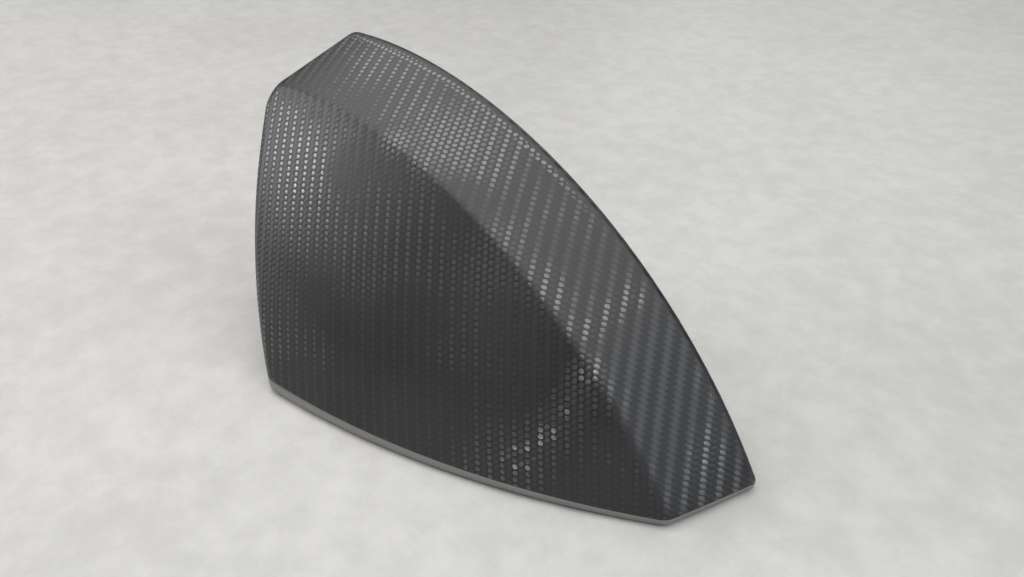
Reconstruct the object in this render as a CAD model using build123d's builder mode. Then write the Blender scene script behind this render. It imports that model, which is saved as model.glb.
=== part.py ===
# Wing mirror cover: one laminated shell, open at the back and underneath.
# The roof is an arch that falls forward, the front is a large ball-shaped face,
# and the inboard end leans outward. All edges are rolled into short return lips.
# Millimetres, +Z up, +X towards the outboard tip, front faces -Y.

import math
import os

from build123d import *

# Driving dimensions: lengths are of the sharp form, before its edges are rolled
cover_length = 285.4
cover_height = 141.4
cover_depth = 117.5
wall_thickness = 1.8
crown_setback = 45.2
roof_fall_angle = 20.4
roof_swing_angle = 4.9
front_radius = 467.0
front_lean_angle = 20.93
front_axis_setback = 32.4
inboard_lean_angle = 38.4
ridge_inner_radius = 7.2
corner_extra_radius = 4.5
fold_inner_radius = 1.8
rear_lip_width = 9.0
rim_lip_width = 10.0
opening_corner_radius = 6.0

# Values that follow from the driving dimensions
half_length = cover_length / 2
rear_y = cover_depth / 2
crown_x = crown_setback - half_length
crown_span = half_length - crown_x
crown_radius = (crown_span ** 2 + cover_height ** 2) / (2 * cover_height)
crown_centre_z = cover_height - crown_radius
fall_slope = math.tan(math.radians(roof_fall_angle))
swing_slope = math.tan(math.radians(roof_swing_angle))
fall_direction = (-swing_slope, -1, -fall_slope)
fall_length = 1.5 * cover_depth
lean = math.radians(front_lean_angle)
front_centre = (
    front_axis_setback - half_length,
    front_radius * math.cos(lean) - rear_y,
    -front_radius * math.sin(lean),
)
inboard_slope = math.tan(math.radians(inboard_lean_angle))
rear_plane = Plane(origin=(0, rear_y, 0), x_dir=(1, 0, 0), z_dir=(0, -1, 0))


def arch(inset, round_radius, skirt):
    """Outline of the roof and the inboard end at the rear plane, moved inward by the inset."""
    radius = crown_radius - inset
    side_inset = inset / math.cos(math.radians(inboard_lean_angle))
    low = -skirt
    # The inboard line meets the roof circle at the upper inboard corner.
    base_x = side_inset - half_length + inboard_slope * cover_height
    offset_x = base_x - crown_x
    a = 1 + inboard_slope ** 2
    b = -2 * (inboard_slope * offset_x + crown_centre_z)
    c = offset_x ** 2 + crown_centre_z ** 2 - radius ** 2
    corner_z = (-b + math.sqrt(b * b - 4 * a * c)) / (2 * a)
    corner_x = base_x - inboard_slope * corner_z
    tip_x = crown_x + math.sqrt(radius ** 2 - (low - crown_centre_z) ** 2)
    start = math.atan2(corner_z - crown_centre_z, corner_x - crown_x)
    finish = math.atan2(low - crown_centre_z, tip_x - crown_x)
    middle = (start + finish) / 2
    middle_point = (crown_x + radius * math.cos(middle), crown_centre_z + radius * math.sin(middle))
    with BuildSketch(rear_plane) as outline:
        with BuildLine():
            ThreePointArc((corner_x, corner_z), middle_point, (tip_x, low))
            Polyline(
                (tip_x, low),
                (base_x - inboard_slope * low, low),
                (corner_x, corner_z),
            )
        make_face()
        fillet(outline.vertices().sort_by_distance((corner_x, rear_y, corner_z))[0], round_radius)
    return outline.sketch


def raw_form(inset, round_radius, floor_z, skirt):
    """Arch run forward and down, trimmed by the ball-shaped front and by the floor."""
    with BuildPart() as form:
        extrude(arch(inset, round_radius, skirt), amount=fall_length, dir=fall_direction, both=True)
        with Locations(front_centre):
            Sphere(front_radius - inset, mode=Mode.INTERSECT)
        with Locations((0, 0, floor_z)):
            Box(4 * cover_length, 2 * fall_length, 4 * cover_height,
                align=(Align.CENTER, Align.CENTER, Align.MIN), mode=Mode.INTERSECT)
    return form


def rounded_form(inset):
    """Closed body with every edge rolled; the radii are those of the inside plus what is left of the wall."""
    floor_z = inset
    back_y = rear_y - inset
    wall_left = wall_thickness - inset
    ridge_radius = ridge_inner_radius + wall_left
    corner_radius = ridge_radius + corner_extra_radius
    fold_radius = fold_inner_radius + wall_left
    with BuildPart() as form:
        add(raw_form(inset, corner_radius, floor_z, cover_depth).part)
        # The ridge and the upright inboard corner are one smooth chain round the front.
        front = form.faces().filter_by(GeomType.SPHERE)[0]
        fillet(front.edges().filter_by(lambda e: e.center().Z > floor_z + 0.01), ridge_radius)
        # The lower edges are rolled next, then the back is cut off square and rolled as a closed loop.
        rim = form.faces().sort_by(Axis.Z)[0].edges().filter_by(lambda e: e.bounding_box().min.Y < rear_y)
        fillet(rim, fold_radius)
        with Locations((0, back_y, 0)):
            Box(4 * cover_length, 4 * cover_depth, 4 * cover_height,
                align=(Align.CENTER, Align.MAX, Align.CENTER), mode=Mode.INTERSECT)
        back = form.faces().sort_by(Axis.Y)[-1].edges()
        fillet(back, fold_radius)
    return form


with BuildPart() as shell:
    add(rounded_form(0).part)
    add(rounded_form(wall_thickness).part, mode=Mode.SUBTRACT)
    # The back is open inside its return lip.
    extrude(arch(rear_lip_width, opening_corner_radius, cover_depth), amount=2 * wall_thickness, both=True,
            mode=Mode.SUBTRACT)
    # The underside is open inside the rim lip, right through to the back.
    with BuildPart(mode=Mode.PRIVATE) as underside:
        add(raw_form(rim_lip_width, opening_corner_radius, -cover_height, cover_depth).part)
        Box(4 * cover_length, 2 * fall_length, 4 * wall_thickness, mode=Mode.INTERSECT)
    add(underside.part, mode=Mode.SUBTRACT)

# The origin sits under the middle of the cover, on the plane it rests on.
extent = shell.part.bounding_box()
middle_x = (extent.min.X + extent.max.X) / 2
middle_y = (extent.min.Y + extent.max.Y) / 2
with BuildPart() as mirror_cover:
    add(shell.part.moved(Location((-middle_x, -middle_y, 0))))
mirror_cover.part.label = "mirror_cover"

os.makedirs("parts", exist_ok=True)
export_step(mirror_cover.part, "parts/mirror_cover.step")
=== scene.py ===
import math

import bmesh
import bpy
import numpy as np
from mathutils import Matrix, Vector
from mathutils.bvhtree import BVHTree


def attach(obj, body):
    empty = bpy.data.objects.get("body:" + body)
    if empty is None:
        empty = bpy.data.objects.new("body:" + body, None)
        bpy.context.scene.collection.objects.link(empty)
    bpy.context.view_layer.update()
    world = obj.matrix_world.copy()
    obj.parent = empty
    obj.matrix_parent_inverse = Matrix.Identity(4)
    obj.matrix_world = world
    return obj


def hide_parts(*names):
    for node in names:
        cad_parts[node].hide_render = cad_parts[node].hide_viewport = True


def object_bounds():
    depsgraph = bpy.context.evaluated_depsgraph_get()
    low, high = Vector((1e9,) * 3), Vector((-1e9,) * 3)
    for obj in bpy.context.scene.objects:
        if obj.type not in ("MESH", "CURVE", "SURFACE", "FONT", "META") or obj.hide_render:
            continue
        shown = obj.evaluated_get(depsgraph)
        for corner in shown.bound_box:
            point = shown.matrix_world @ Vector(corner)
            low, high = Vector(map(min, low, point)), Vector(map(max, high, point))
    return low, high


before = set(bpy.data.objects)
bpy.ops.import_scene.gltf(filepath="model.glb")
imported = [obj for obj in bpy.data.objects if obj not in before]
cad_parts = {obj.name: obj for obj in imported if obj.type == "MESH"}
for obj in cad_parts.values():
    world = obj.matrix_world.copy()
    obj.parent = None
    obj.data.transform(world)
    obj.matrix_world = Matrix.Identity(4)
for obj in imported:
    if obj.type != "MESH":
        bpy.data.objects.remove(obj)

bl_info = {
    "name": "Wing Mirror Cover",
    "version": (1, 0, 0),
    "blender": (4, 5, 0),
    "location": "View3D > Sidebar > Mirror Cover",
    "description": "A woven carbon wing mirror cover on a plain studio floor",
    "category": "Object",
}

NODE = "mirror_cover"
BODY = "root"
WEAVE_GROUP = "Woven Floats"
cad_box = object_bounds()

# Points closer than this are one vertex
SAME_PLACE = 1e-6
# The roof's arch from past the inboard end to below the floor
ARCH_START = math.radians(140)
ARCH_END = math.radians(-5)
ARCH_STEPS = 500
# Edges of the laminate sharper than this stay sharp
SHARP_ANGLE = math.radians(35)

# Half the width of the cloth before it is cut to the form
CLOTH_REACH = 0.23
# Turns of the weft and of the warp floats in the cloth
WEFT_TURN = math.radians(45)
WARP_TURN = math.radians(135)
# Tows after which the twill repeats, and tows that one float passes over
TWILL_REPEAT = 4
FLOAT_TOWS = 2
# Vertices of one float along and across its tow, and the gap within which neighbours are joined
VERTICES_ALONG = 7
VERTICES_ACROSS = 4
FLOAT_JOIN = 1e-5
# A float's crown as shares of the float's length and width
CROWN_LENGTH = 0.60
CROWN_WIDTH = 1.02
# The crowns' height under plain resin, how fast it grows as the resin thins, and its limits
CROWN_HEIGHT = 0.38
CROWN_GROWTH = 1.6
CROWN_LOWEST = 0.15
CROWN_HIGHEST = 1.0
# Gaps to the rolled surface between which a point is drawn on to it
SETTLE_NEAR = 0.00003
SETTLE_FAR = 0.00010
# How far a flat facet's points move to the tangent planes at its corners, which makes it round
FACET_ROUND = 0.5
# Distances before the rear edge between which the crowns sink into the fold
FOLD_FLAT = 0.0040
FOLD_END = 0.0080
# Distance before the rear edge that is noted on the front, which has none
FRONT_GAP = 1.0
# How far before the flat rear lip the cloth is cut off
REAR_CUT = 0.0004
# How far the cloth's open edges are turned down into the laminate
TUCK_DEPTH = 0.00012

# Soft round patches where the resin over the cloth is thin, above zero, or thick, below zero; they also
# place painted highlight on bare crowns where thin and painted shade where thick: middle, reach and share
RESIN_AND_LIGHT_PATCHES = (
    ((-0.095, -0.010, 0.097), 0.034, 0.19),
    ((-0.071, -0.017, 0.083), 0.034, 0.19),
    ((-0.049, -0.017, 0.078), 0.022, 0.16),
    ((-0.111, 0.001, 0.112), 0.020, 0.20),
    ((-0.080, -0.045, 0.035), 0.030, 0.25),
    ((-0.090, 0.033, 0.132), 0.027, 0.36),
    ((-0.058, 0.032, 0.129), 0.024, 0.10),
    ((-0.042, 0.012, 0.117), 0.012, 0.46),
    ((-0.025, 0.012, 0.112), 0.010, 0.30),
    ((-0.022, 0.028, 0.119), 0.034, 0.26),
    ((0.002, 0.038, 0.114), 0.026, 0.26),
    ((0.048, 0.015, 0.080), 0.016, 0.24),
    ((0.055, 0.016, 0.075), 0.011, 0.20),
    ((0.064, 0.014, 0.068), 0.010, 0.36),
    ((0.075, 0.010, 0.054), 0.013, 0.55),
    ((0.073, 0.001, 0.041), 0.014, 0.50),
    ((0.070, -0.007, 0.029), 0.014, 0.50),
    ((0.064, -0.015, 0.018), 0.014, 0.42),
    ((0.069, 0.021, 0.067), 0.008, 0.42),
    ((0.070, 0.031, 0.070), 0.009, 0.40),
    ((0.072, 0.042, 0.074), 0.008, 0.42),
    ((0.118, 0.038, 0.023), 0.016, 0.42),
    ((-0.100, 0.020, 0.070), 0.050, 0.20),
    ((-0.113, 0.013, 0.125), 0.018, -0.46),
    ((-0.061, -0.002, 0.104), 0.015, -0.45),
    ((0.004, 0.012, 0.103), 0.014, -0.35),
    ((-0.023, -0.044, 0.019), 0.045, -0.22),
    ((0.012, -0.028, 0.034), 0.018, -0.14),
    ((-0.030, -0.032, 0.046), 0.018, -0.12),
    ((0.020, -0.033, 0.016), 0.040, -0.30),
    ((0.034, -0.020, 0.034), 0.026, -0.16),
    ((0.087, 0.033, 0.056), 0.030, -0.36),
    ((0.105, 0.025, 0.034), 0.026, -0.42),
    ((0.094, 0.000, 0.017), 0.034, -0.30),
    ((0.096, 0.011, 0.037), 0.018, -0.25),
    ((0.050, -0.002, 0.054), 0.035, -0.20),
)
# Patches of the same kind where the weft crowns are painted bright as well, a painted highlight for the
# light that catches both sets
WEFT_HIGHLIGHT_PATCHES = (
    ((-0.042, 0.012, 0.117), 0.020, 0.60),
    ((-0.022, 0.028, 0.119), 0.036, 0.85),
    ((0.018, 0.007, 0.089), 0.024, 0.60),
    ((-0.030, -0.022, 0.062), 0.030, 0.40),
    ((0.075, 0.010, 0.054), 0.013, 0.60),
)

# Scale and detail of the noises, per metre: clouds in the resin over the cloth and inside, its thin places,
# the crowns' ragged edges, the grain of the inside, and the floor's broad and fine mottling
RESIN_NOISE = (16.0, 4.0)
INSIDE_NOISE = (22.0, 5.0)
THIN_NOISE = (24.0, 1.0)
RAGGED_NOISE = (1300.0, 1.0)
GRAIN_NOISE = (900.0, 2.0)
BROAD_NOISE = (7.0, 3.0)
FINE_NOISE = (55.0, 8.0)
# Fibre streaks: their noise, how it is stretched along a float, and how far apart two floats draw it
STREAK_NOISE = (1.0, 2.0)
STREAK_STRETCH = (1.5, 16.0, 1.0)
STREAK_SHIFT = 60.0
# Cells of the pinholes, per metre
PINHOLE_SCALE = 170.0

# The ranges below each hold the values at which a share is zero and one.
# The resin's clouds, from dark to pale
CLOUD_RANGE = (0.30, 0.70)
# Thinness of the resin at which the crowns come bare, and at which they get a painted glint
BARE_RANGE = (0.33, 0.78)
GLINT_RANGE = (0.88, 1.14)
# Random shades of the floats that get a painted glint
GLINT_SHADES = (0.35, 0.60)
# Reach from a crown's middle, with its raggedness, of the crown and of the groove's two sides
CROWN_RANGE = (1.35, 1.12)
GROOVE_INNER = (1.22, 1.38)
GROOVE_OUTER = (1.70, 1.42)
# Bareness of a crown at which the ring round it shows, as relief and as painted shade
GROOVE_RANGE = (0.12, 0.55)
# Distances before the rear edge at which the plain fold ends, and over which the bright row lies, a painted
# highlight of bare crowns
FOLD_RANGE = (0.0058, 0.0068)
ROW_RANGE = (0.0096, 0.0088)
# Places along X between which the bright row, a painted highlight, grows towards the inboard end
ROW_FADE = (0.055, 0.010)
# Heights between which the laminate turns into the pale strip along the rim, whose paleness is a painted
# reflection of the floor
STRIP_RANGE = (0.0095, 0.0050)
# Reach of a pinhole in its cell, and the share of the cells that have none
PINHOLE_RANGE = (0.11, 0.05)
PINHOLE_CHANCE = 0.88
# The floor's mottling, from dark to pale
MOTTLE_RANGE = (0.36, 0.66)

# How much a float's own shade thins the resin, and the least that any crown shows
SHADE_THINNING = 0.08
LEAST_BARE = 0.12
# Share by which the weft crowns are dulled outside their patches: painted shade, as the light catches only
# the other set
WEFT_DULLED = 0.85
# Depth of the crowns' ragged edges as a share of their reach
RAGGED_DEPTH = 0.6
# Gloss of the woven cloth: roughness of the resin, what its clouds add and bare crowns take away,
# the crowns' metal share, the resin's specular level and the sheen along the fibres
RESIN_ROUGHNESS = 0.36
CLOUD_ROUGHNESS = 0.2
CROWN_POLISH = -0.22
CROWN_METAL = 0.75
RESIN_SPECULAR = 0.6
FIBRE_SHEEN = 0.7
# Roughness of the inside, what its clouds add, and how far its weave shows
INSIDE_ROUGHNESS = 0.28
INSIDE_CLOUDS = 0.25
INSIDE_WEAVE = 0.5
# Strengths of the fine bumps on the cloth and inside, and their height
CLOTH_BUMP = 0.45
INSIDE_BUMP = 0.5
BUMP_HEIGHT = 0.00005
# Roughness of the floor and of its fine mottling, and that mottling's share of the whole
FLOOR_ROUGHNESS = 0.5
FINE_ROUGHNESS = 0.7
FINE_SHARE = 0.7

# Spacing of the node editor's grid, and the numbers of a Mix node's colour sockets
NODE_SPACING = (200, -180)
MIX_INPUTS = (6, 7)
MIX_OUTPUT = 2
# Named inputs of the weave
WEAVE_INPUTS = (
    ("Geometry", "NodeSocketGeometry"),
    ("Tow Pitch", "NodeSocketFloat"),
    ("Relief", "NodeSocketFloat"),
    ("Lift", "NodeSocketFloat"),
    ("Seed", "NodeSocketInt"),
    ("Material", "NodeSocketMaterial"),
)
# Colour in the solid viewport
VIEW_COLOUR = (0.045, 0.047, 0.05, 1.0)
# The camera's sensor width in millimetres, and the nearest distance that it sees
SENSOR_WIDTH = 36
NEAREST_SEEN = 0.01
# Lights: name, place, point aimed at, width, depth, colour and the setting that holds the power
LIGHTS = (
    ("ceiling_light", (-0.30, -0.15, 1.30), (-0.30, -0.15, 0.0), 3.2, 1.8,
     (1.0, 0.99, 0.965), "ceiling_power"),
    ("window_light", (-1.40, -1.00, 0.72), (-0.07, -0.01, 0.09), 0.70, 0.70,
     (1.0, 0.97, 1.0), "window_power"),
    ("back_light", (-1.00, 2.60, 0.95), (0.0, 0.0, 0.06), 1.60, 1.00,
     (1.0, 1.0, 1.0), "back_power"),
    ("side_light", (1.45, 0.25, 0.75), (0.09, 0.03, 0.04), 1.00, 1.00,
     (0.86, 0.93, 1.0), "side_power"),
)


# Settings

class CoverFormSettings(bpy.types.PropertyGroup):
    """Sizes of the sharp form that the cloth is laid on."""

    length: bpy.props.FloatProperty(
        name="Length", description="Length of the sharp form",
        default=0.2854, unit="LENGTH")
    height: bpy.props.FloatProperty(
        name="Height", description="Height of the roof's crown",
        default=0.1414, unit="LENGTH")
    depth: bpy.props.FloatProperty(
        name="Depth", description="Depth of the sharp form",
        default=0.1175, unit="LENGTH")
    middle_x: bpy.props.FloatProperty(
        name="Middle", description="Middle of the rolled form's box, from the middle of the sharp form",
        default=0.0035516, unit="LENGTH")
    crown_setback: bpy.props.FloatProperty(
        name="Crown Setback", description="Crown's distance from the inboard end",
        default=0.0452, unit="LENGTH")
    roof_fall: bpy.props.FloatProperty(
        name="Roof Fall", description="How far the roof falls forward",
        default=math.radians(20.4), subtype="ANGLE")
    roof_swing: bpy.props.FloatProperty(
        name="Roof Swing", description="How far the roof swings inboard as it runs forward",
        default=math.radians(4.9), subtype="ANGLE")
    front_radius: bpy.props.FloatProperty(
        name="Front Radius", description="Radius of the ball-shaped front",
        default=0.467, unit="LENGTH")
    front_lean: bpy.props.FloatProperty(
        name="Front Lean", description="How far the front leans back",
        default=math.radians(20.93), subtype="ANGLE")
    front_axis_setback: bpy.props.FloatProperty(
        name="Front Axis Setback", description="The front's axis from the inboard end",
        default=0.0324, unit="LENGTH")
    inboard_lean: bpy.props.FloatProperty(
        name="Inboard Lean", description="How far the inboard end leans outward",
        default=math.radians(38.4), subtype="ANGLE")


class ClothSettings(bpy.types.PropertyGroup):
    """The two by two twill and how it lies on the form."""

    tow_pitch: bpy.props.FloatProperty(
        name="Tow Pitch", description="Width of one tow",
        default=0.002, unit="LENGTH")
    relief: bpy.props.FloatProperty(
        name="Relief", description="Height of a float's crown over its edges",
        default=0.00013, unit="LENGTH")
    lift: bpy.props.FloatProperty(
        name="Lift", description="Height of a float's edges over the laminate",
        default=0.00002, unit="LENGTH")
    front_middle: bpy.props.FloatVectorProperty(
        name="Front Middle", description="Place over the front where the cloth was first pressed on",
        default=(0.012, -0.012, 0.060), subtype="TRANSLATION")
    front_turn: bpy.props.FloatProperty(
        name="Front Turn", description="Turn of the ribs on the front",
        default=math.radians(12.4), subtype="ANGLE")
    roof_turn: bpy.props.FloatProperty(
        name="Roof Turn", description="Angle of the roof's fall line in the cloth",
        default=math.radians(62.0), subtype="ANGLE")
    inboard_turn: bpy.props.FloatProperty(
        name="Inboard Turn", description="Turn of the ribs on the inboard end",
        default=math.radians(-8.0), subtype="ANGLE")
    lip_cover: bpy.props.FloatProperty(
        name="Lip Cover", description="How far the cloth runs past the rear edge before it is cut",
        default=0.0070, unit="LENGTH")
    strip_inboard: bpy.props.FloatProperty(
        name="Strip Inboard", description="Height of the plain strip under the cloth at the inboard end",
        default=0.0080, unit="LENGTH")
    strip_outboard: bpy.props.FloatProperty(
        name="Strip Outboard", description="Height of the plain strip under the cloth at the tip",
        default=0.0045, unit="LENGTH")
    corner_margin: bpy.props.FloatProperty(
        name="Corner Margin", description="Gap that the floats leave at the inboard corner",
        default=0.0008, unit="LENGTH")
    seed: bpy.props.IntProperty(
        name="Seed", description="Seed of the floats' shades", default=7)


class FinishSettings(bpy.types.PropertyGroup):
    """Colours of the cloth, the laminate and the floor."""

    resin_dark: bpy.props.FloatVectorProperty(
        name="Resin Dark", description="Darkest colour of the resin over the cloth",
        default=(0.010, 0.010, 0.0115), subtype="COLOR")
    resin_pale: bpy.props.FloatVectorProperty(
        name="Resin Pale", description="Palest colour of the resin over the cloth",
        default=(0.019, 0.019, 0.0215), subtype="COLOR")
    # Painted shade: the dark colour in the ring round each bare crown
    groove_and_shade: bpy.props.FloatVectorProperty(
        name="Groove", description="Colour of the groove round a bare crown",
        default=(0.004, 0.004, 0.004), subtype="COLOR")
    crown_dark: bpy.props.FloatVectorProperty(
        name="Crown Dark", description="Darkest colour of a bare crown's fibres",
        default=(0.080, 0.080, 0.083), subtype="COLOR")
    crown_pale: bpy.props.FloatVectorProperty(
        name="Crown Pale", description="Palest colour of a bare crown's fibres",
        default=(0.195, 0.195, 0.195), subtype="COLOR")
    # Painted highlight: the bright colour of the crowns that are painted to glint
    glint: bpy.props.FloatVectorProperty(
        name="Glint", description="Colour of the crowns that glint",
        default=(0.52, 0.52, 0.51), subtype="COLOR")
    pinhole: bpy.props.FloatVectorProperty(
        name="Pinhole", description="Colour of the small pits in the resin",
        default=(0.008, 0.008, 0.009), subtype="COLOR")
    inside_dark: bpy.props.FloatVectorProperty(
        name="Inside Dark", description="Darkest colour of the laminate inside",
        default=(0.014, 0.014, 0.016), subtype="COLOR")
    inside_pale: bpy.props.FloatVectorProperty(
        name="Inside Pale", description="Palest colour of the laminate inside",
        default=(0.026, 0.026, 0.029), subtype="COLOR")
    inside_weave: bpy.props.FloatVectorProperty(
        name="Inside Weave", description="Colour of the weave that shows inside",
        default=(0.050, 0.050, 0.052), subtype="COLOR")
    # Painted reflection: the pale colour of the rim stands in for the floor mirrored in it
    strip: bpy.props.FloatVectorProperty(
        name="Strip", description="Colour of the plain strip along the rim",
        default=(0.20, 0.197, 0.19), subtype="COLOR")
    floor_dark: bpy.props.FloatVectorProperty(
        name="Floor Dark", description="Darkest colour of the floor",
        default=(0.440, 0.436, 0.424), subtype="COLOR")
    floor_pale: bpy.props.FloatVectorProperty(
        name="Floor Pale", description="Palest colour of the floor",
        default=(0.517, 0.513, 0.500), subtype="COLOR")


class StudioSettings(bpy.types.PropertyGroup):
    """The camera, the floor and the lights."""

    camera_place: bpy.props.FloatVectorProperty(
        name="Camera Place", description="Where the camera stands",
        default=(0.24395, -0.20171, 0.27673), subtype="TRANSLATION")
    camera_turn: bpy.props.FloatVectorProperty(
        name="Camera Turn", description="How the camera is turned",
        default=(math.radians(56.05), 0.0, math.radians(44.83)), subtype="EULER")
    lens: bpy.props.FloatProperty(
        name="Lens", description="Focal length in millimetres",
        default=30.45, subtype="DISTANCE_CAMERA")
    floor_size: bpy.props.FloatProperty(
        name="Floor Size", description="Width of the floor",
        default=8.0, unit="LENGTH")
    ceiling_power: bpy.props.FloatProperty(
        name="Ceiling Power", description="Power of the wide light overhead",
        default=40.0, subtype="POWER")
    window_power: bpy.props.FloatProperty(
        name="Window Power", description="Power of the low light at the inboard front",
        default=8.5, subtype="POWER")
    back_power: bpy.props.FloatProperty(
        name="Back Power", description="Power of the light behind the cover",
        default=9.0, subtype="POWER")
    side_power: bpy.props.FloatProperty(
        name="Side Power", description="Power of the low light on the outboard side",
        default=6.0, subtype="POWER")
    sky_colour: bpy.props.FloatVectorProperty(
        name="Sky Colour", description="Colour of the surrounding light",
        default=(0.93, 0.95, 1.0), subtype="COLOR")
    sky_strength: bpy.props.FloatProperty(
        name="Sky Strength", description="Strength of the surrounding light", default=0.14)


# The sharp form and the cloth that lies on it

def unit(vectors):
    """Rows of vectors, each scaled to length one."""
    return vectors / np.linalg.norm(vectors, axis=-1, keepdims=True)


class SharpForm:
    """The cover before its edges are rolled: a ball-shaped front, an arched roof and flat ends."""

    def __init__(self, sizes, cloth):
        half = sizes.length / 2
        lean = sizes.front_lean
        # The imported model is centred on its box, and the sharp form reaches the box's rear plane.
        self.rear = cad_box[1].y
        self.radius = sizes.front_radius
        self.centre = np.array([
            sizes.front_axis_setback - half - sizes.middle_x,
            self.rear - sizes.depth + self.radius * math.cos(lean),
            -self.radius * math.sin(lean),
        ])
        self.slope = np.array([-math.tan(sizes.roof_swing), -1.0, -math.tan(sizes.roof_fall)])
        self.fall = unit(self.slope)
        span = sizes.length - sizes.crown_setback
        self.roof_radius = (span ** 2 + sizes.height ** 2) / (2 * sizes.height)
        self.roof_x = sizes.crown_setback - half - sizes.middle_x
        self.roof_z = sizes.height - self.roof_radius
        self.inboard_slope = math.tan(sizes.inboard_lean)
        self.inboard_x = self.inboard_slope * sizes.height - half - sizes.middle_x
        self.middle_z = sizes.height / 2
        self.set_cloth(cloth)

    def set_cloth(self, cloth):
        """Where the cloth's own axes lie on the front, and how it goes on over the ridge."""
        self.turn = cloth.front_turn
        self.pole = unit(np.array(cloth.front_middle) - self.centre)
        self.east = unit(np.cross([0.0, 0.0, 1.0], self.pole))
        self.north = np.cross(self.pole, self.east)
        self.back = np.array([math.cos(cloth.roof_turn), math.sin(cloth.roof_turn)])
        self.ridge_angles = np.linspace(ARCH_START, ARCH_END, ARCH_STEPS)
        ridge = self.ridge_point(self.ridge_angles)[0]
        self.ridge_cloth = self.front_cloth(ridge)
        self.ridge_order = self.across_back(self.ridge_cloth)

    def across_back(self, cloth):
        """Where each place lies along the ridge, measured across the roof's fall line."""
        return cloth[:, 0] * self.back[1] - cloth[:, 1] * self.back[0]

    def front_point(self, cloth):
        """Points and normals on the front for places on the cloth."""
        east = cloth[:, 0] * math.cos(self.turn) - cloth[:, 1] * math.sin(self.turn)
        north = cloth[:, 0] * math.sin(self.turn) + cloth[:, 1] * math.cos(self.turn)
        reach = np.maximum(np.hypot(east, north), SAME_PLACE)
        angle = reach / self.radius
        aim = (east / reach)[:, None] * self.east + (north / reach)[:, None] * self.north
        normal = np.cos(angle)[:, None] * self.pole + np.sin(angle)[:, None] * aim
        return self.centre + self.radius * normal, normal

    def front_cloth(self, points):
        """Places on the cloth for points on the front."""
        normal = unit(points - self.centre)
        along = np.clip(normal @ self.pole, -1, 1)
        aim = normal - along[:, None] * self.pole
        aim = aim / np.maximum(np.linalg.norm(aim, axis=1, keepdims=True), SAME_PLACE)
        reach = self.radius * np.arccos(along)
        east = reach * (aim @ self.east)
        north = reach * (aim @ self.north)
        across = east * math.cos(self.turn) + north * math.sin(self.turn)
        up = -east * math.sin(self.turn) + north * math.cos(self.turn)
        return np.column_stack([across, up])

    def rear_point(self, angles):
        """Points of the roof's arch at the rear plane."""
        flat = np.full_like(angles, self.rear)
        across = self.roof_x + self.roof_radius * np.cos(angles)
        up = self.roof_z + self.roof_radius * np.sin(angles)
        return np.column_stack([across, flat, up])

    def ridge_point(self, angles):
        """Where the roof's fall lines meet the front, and how long each is."""
        start = self.rear_point(angles)
        away = start - self.centre
        along = away @ self.fall
        gap = np.einsum("ij,ij->i", away, away) - self.radius ** 2
        run = -along + np.sqrt(np.maximum(along ** 2 - gap, 0))
        return start + run[:, None] * self.fall, run

    def at_rear(self, points):
        """Points moved along the fall lines to the rear plane."""
        ahead = self.rear - points[:, 1]
        return points - ahead[:, None] * self.slope

    def roof_height(self, points):
        """Below zero under the roof, above zero over it."""
        back = self.at_rear(points)
        return np.hypot(back[:, 0] - self.roof_x, back[:, 2] - self.roof_z) - self.roof_radius

    def inboard_depth(self, points):
        """How far points are inside the inboard end, along X."""
        back = self.at_rear(points)
        return back[:, 0] - (self.inboard_x - self.inboard_slope * back[:, 2])

    def roof_place(self, cloth):
        """Arch angle and distance behind the ridge for places on the cloth."""
        order = self.across_back(cloth)
        angles = np.interp(order, self.ridge_order, self.ridge_angles)
        start = np.column_stack([
            np.interp(order, self.ridge_order, self.ridge_cloth[:, 0]),
            np.interp(order, self.ridge_order, self.ridge_cloth[:, 1]),
        ])
        return angles, (cloth - start) @ self.back

    def roof_point(self, cloth):
        """Points and normals on the roof and on the rear lip, and how far each is past the rear edge."""
        angles, behind = self.roof_place(cloth)
        ridge, run = self.ridge_point(angles)
        past = np.maximum(behind - run, 0)
        radial = np.column_stack([np.cos(angles), np.zeros_like(angles), np.sin(angles)])
        points = ridge - np.minimum(behind, run)[:, None] * self.fall - past[:, None] * radial
        normal = radial.copy()
        normal[:, 1] = radial @ self.slope
        normal = unit(normal)
        normal[past > 0] = (0.0, 1.0, 0.0)
        return points, normal, behind - run

    def roof_cloth(self, points):
        """Places on a flat chart of the roof for points on it."""
        back = self.at_rear(points)
        angles = np.arctan2(back[:, 2] - self.roof_z, back[:, 0] - self.roof_x)
        run = (self.rear - points[:, 1]) * np.linalg.norm(self.slope)
        return np.column_stack([-self.roof_radius * angles, -run])

    def lay(self, cloth):
        """Points, normals and distances before the rear edge, which are infinite on the front."""
        front, front_normal = self.front_point(cloth)
        over = self.roof_height(front) > 0
        roof, roof_normal, past = self.roof_point(cloth)
        points = np.where(over[:, None], roof, front)
        normals = np.where(over[:, None], roof_normal, front_normal)
        return points, normals, np.where(over, -past, np.inf)


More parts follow.
